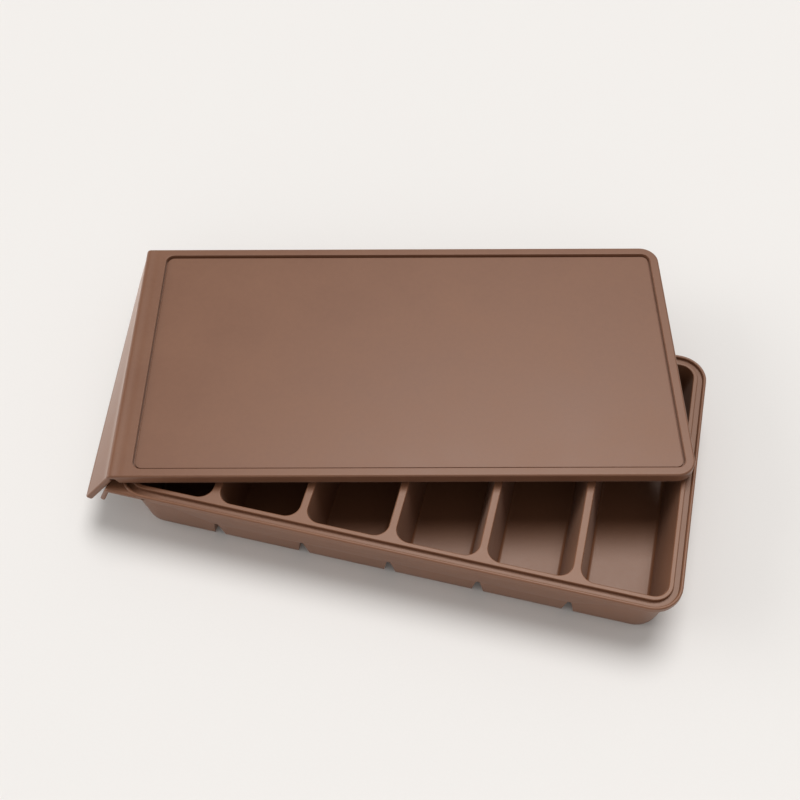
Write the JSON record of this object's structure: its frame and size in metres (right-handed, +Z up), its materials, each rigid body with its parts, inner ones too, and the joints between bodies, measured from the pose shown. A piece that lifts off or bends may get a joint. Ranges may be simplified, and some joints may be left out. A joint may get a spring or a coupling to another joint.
{
  "type": "baby food freezer tray with lid",
  "caption": "Long low freezer tray in soft silicone with a row of deep rectangular portion cups, a grooved rim and a flat lid with a drooping pull tab.",
  "frame": {"origin": "on the table, in the middle of the foot of the fourth cup from the pull tabs", "axes": "+X along the row of cups, away from the pull tabs; +Y across the tray, towards the back of the picture; +Z up"},
  "size_m": [0.2912, 0.196, 0.0372],
  "materials": {
    "tray_silicone": "satin-matt moulded silicone, cocoa brown",
    "lid_silicone": "satin-matt moulded silicone, cocoa brown"
  },
  "bodies": {
    "tray": {"tray": "tray_silicone"},
    "tray_tab": {"tray_tab": "tray_silicone"},
    "lid": {"lid": "lid_silicone"},
    "lid_tab": {"lid_tab": "lid_silicone"}
  },
  "joints": [
    {"name": "lid_lift", "type": "slide", "parent": "tray", "child": "lid", "axis": [0, 0, 1], "range_m": [0, 0.12]},
    {"name": "lid_tab_fold", "type": "hinge", "parent": "lid", "child": "lid_tab", "pos_m": [-0.16157, 0.00058, 0.0357], "axis": [-0.2419, 0.9703, 0], "range_deg": [0, 95], "stiffness_Nm_per_rad": 0.02},
    {"name": "tray_tab_fold", "type": "hinge", "parent": "tray", "child": "tray_tab", "pos_m": [-0.1474, 0, 0.0279], "axis": [0, 1, 0], "range_deg": [-20, 8], "stiffness_Nm_per_rad": 0.02}
  ]
}
